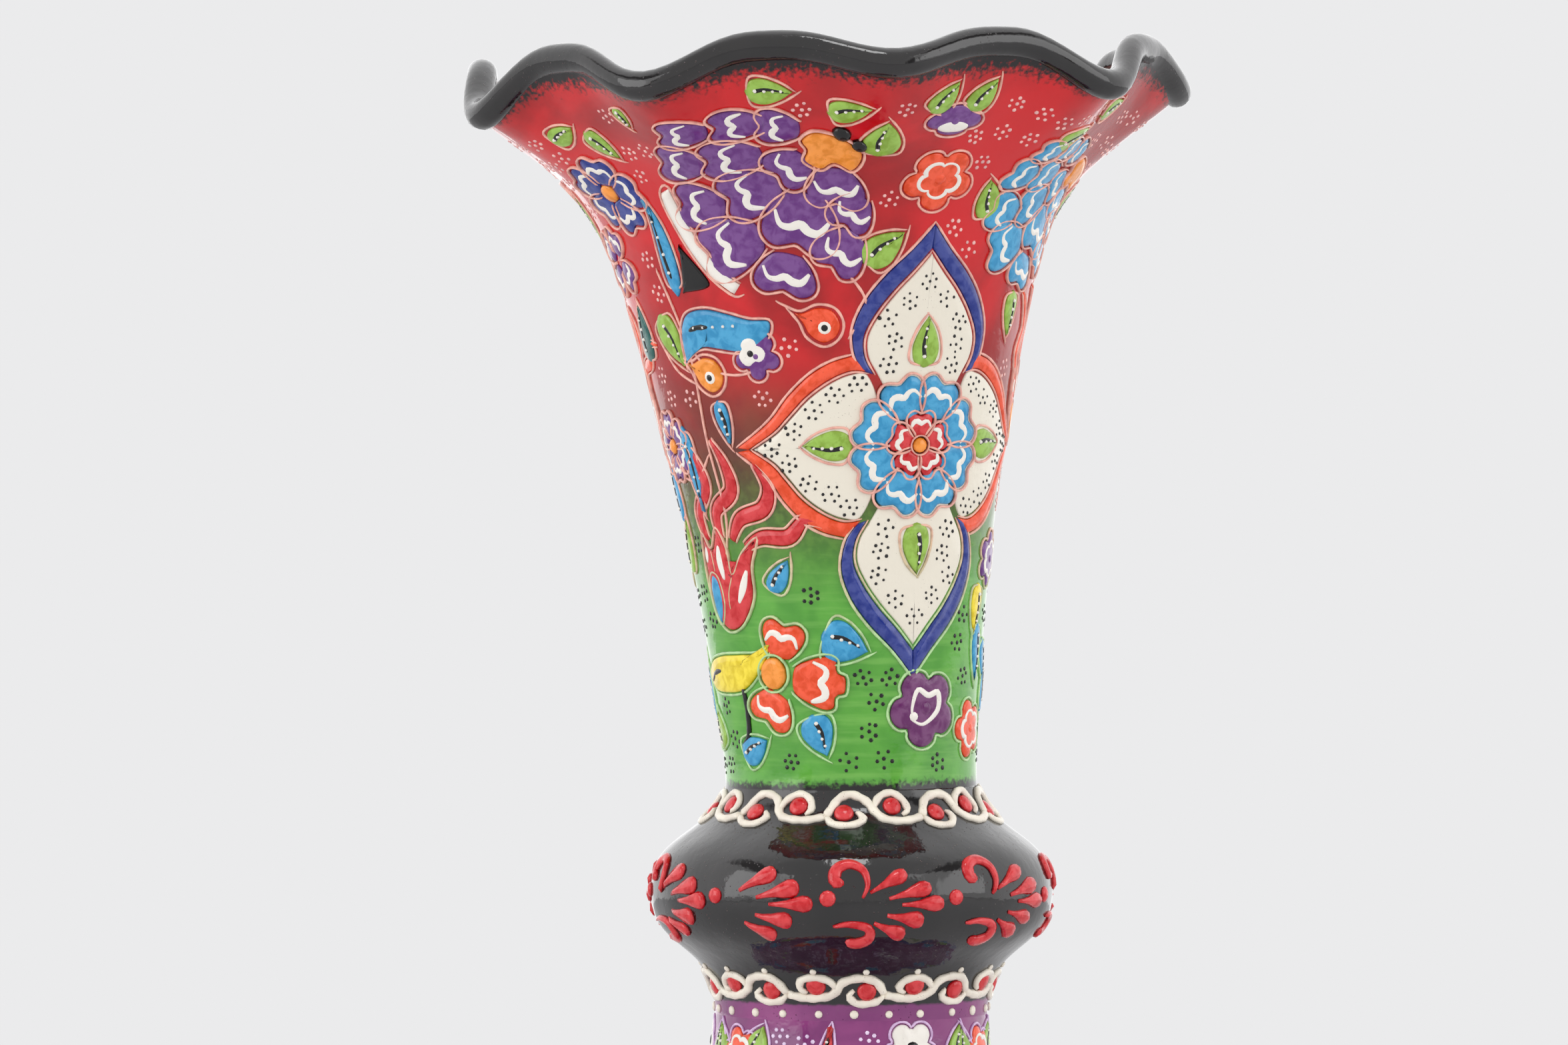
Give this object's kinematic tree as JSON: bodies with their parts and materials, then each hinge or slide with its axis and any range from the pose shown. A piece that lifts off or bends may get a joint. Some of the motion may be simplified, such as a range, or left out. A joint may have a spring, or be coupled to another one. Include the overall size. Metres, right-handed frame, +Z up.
{
  "type": "painted pottery vase",
  "caption": "Tall glazed pottery vase: baluster body on a flat foot, black knop between slip scrolls, leaning trumpet neck with a ruffled lip and raised enamel flowers.",
  "frame": {"origin": "middle of the foot's flat underside", "axes": "+Z up along the axis of the body; -Y is the front, which shows the red and white tulip column left of the front medallion; the trumpet leans towards -X"},
  "size_m": [0.1697, 0.1704, 0.4014],
  "materials": {
    "red_green_glaze": "gloss",
    "black_glaze": "gloss",
    "purple_glaze": "gloss",
    "white_slip": "gloss",
    "enamel": "gloss",
    "bare_clay": "matte"
  },
  "bodies": {
    "root": {"foot": "bare_clay", "lower_body": "purple_glaze", "knop": "black_glaze", "trumpet": "red_green_glaze", "rim_roll": "black_glaze", "upper_scroll_trail": "white_slip", "lower_scroll_trail": "white_slip", "upper_scroll_bead_01": "enamel", "upper_scroll_bead_02": "enamel", "upper_scroll_bead_03": "enamel", "upper_scroll_bead_04": "enamel", "upper_scroll_bead_05": "enamel", "upper_scroll_bead_06": "enamel", "upper_scroll_bead_07": "enamel", "upper_scroll_bead_08": "enamel", "upper_scroll_bead_09": "enamel", "upper_scroll_bead_10": "enamel", "upper_scroll_bead_11": "enamel", "upper_scroll_bead_12": "enamel", "upper_scroll_bead_13": "enamel", "upper_scroll_bead_14": "enamel", "upper_scroll_bead_15": "enamel", "upper_scroll_bead_16": "enamel", "upper_scroll_bead_17": "enamel", "upper_scroll_bead_18": "enamel", "lower_scroll_bead_01": "enamel", "lower_scroll_bead_02": "enamel", "lower_scroll_bead_03": "enamel", "lower_scroll_bead_04": "enamel", "lower_scroll_bead_05": "enamel", "lower_scroll_bead_06": "enamel", "lower_scroll_bead_07": "enamel", "lower_scroll_bead_08": "enamel", "lower_scroll_bead_09": "enamel", "lower_scroll_bead_10": "enamel", "lower_scroll_bead_11": "enamel", "lower_scroll_bead_12": "enamel", "lower_scroll_bead_13": "enamel", "lower_scroll_bead_14": "enamel", "lower_scroll_bead_15": "enamel", "lower_scroll_bead_16": "enamel", "lower_scroll_bead_17": "enamel", "lower_scroll_bead_18": "enamel"}
  },
  "joints": []
}
